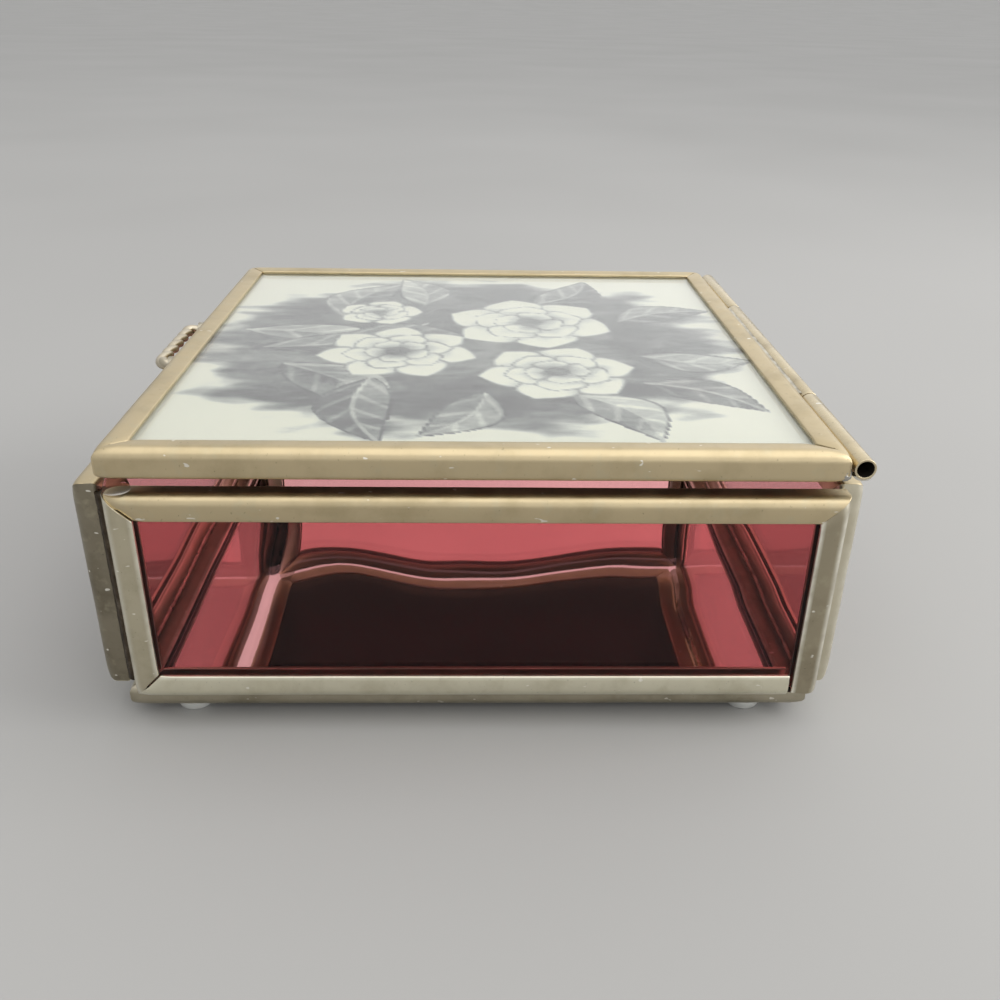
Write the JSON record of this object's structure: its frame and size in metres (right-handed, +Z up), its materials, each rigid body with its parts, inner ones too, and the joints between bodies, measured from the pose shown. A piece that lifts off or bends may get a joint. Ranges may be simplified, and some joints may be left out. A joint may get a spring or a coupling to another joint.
{
  "type": "glass keepsake box",
  "caption": "Glass casket of pink panes in mitred brass channel, with a mirror floor, a hinged lid that frames a print, and a twisted-wire pull on the lid's edge.",
  "frame": {"origin": "on the table under the feet, at the middle of the case's footprint", "axes": "+X to the right when the pull faces the viewer, -Y the side with the pull, +Y the hinge side, +Z up"},
  "size_m": [0.12, 0.1318, 0.0552],
  "materials": {
    "channel": "aged satin",
    "hinge_tube": "aged satin",
    "twisted_wire": "tinned satin",
    "wire": "dull",
    "solder": "dull solder",
    "coloured_glass": "smooth, slightly wavy",
    "mirror": "silvered glass",
    "clear_glass": "smooth",
    "print": "matt print",
    "backing": "dark, slightly glossy",
    "clear_vinyl": "clear, smooth"
  },
  "bodies": {
    "case": {"right_wall_bottom_rail": "channel", "right_wall_rear_stile": "channel", "right_wall_top_rail": "channel", "right_wall_front_stile": "channel", "right_pane": "coloured_glass", "left_wall_bottom_rail": "channel", "left_wall_rear_stile": "channel", "left_wall_top_rail": "channel", "left_wall_front_stile": "channel", "left_pane": "coloured_glass", "front_wall_bottom_rail": "channel", "front_wall_right_stile": "channel", "front_wall_top_rail": "channel", "front_wall_left_stile": "channel", "front_pane": "coloured_glass", "rear_wall_bottom_rail": "channel", "rear_wall_right_stile": "channel", "rear_wall_top_rail": "channel", "rear_wall_left_stile": "channel", "rear_pane": "coloured_glass", "base_front_rail": "channel", "base_right_rail": "channel", "base_rear_rail": "channel", "base_left_rail": "channel", "mirror_base": "mirror", "corner_solder": "solder", "base_solder": "solder", "hinge_knuckle_right": "hinge_tube", "hinge_knuckle_left": "hinge_tube", "hinge_pin": "wire", "hinge_solder": "solder", "feet": "clear_vinyl", "lid_stops": "clear_vinyl"},
    "lid": {"lid_front_rail": "channel", "lid_right_rail": "channel", "lid_rear_rail": "channel", "lid_left_rail": "channel", "lid_backing": "backing", "lid_print": "print", "lid_glass": "clear_glass", "lid_knuckle": "hinge_tube", "lid_hinge_solder": "solder", "lid_pull": "twisted_wire", "pull_solder": "solder"}
  },
  "joints": [
    {"name": "lid_hinge", "type": "hinge", "parent": "case", "child": "lid", "pos_m": [0, 0.0627, 0.05237], "axis": [-1, 0, 0], "range_deg": [0, 195]}
  ]
}
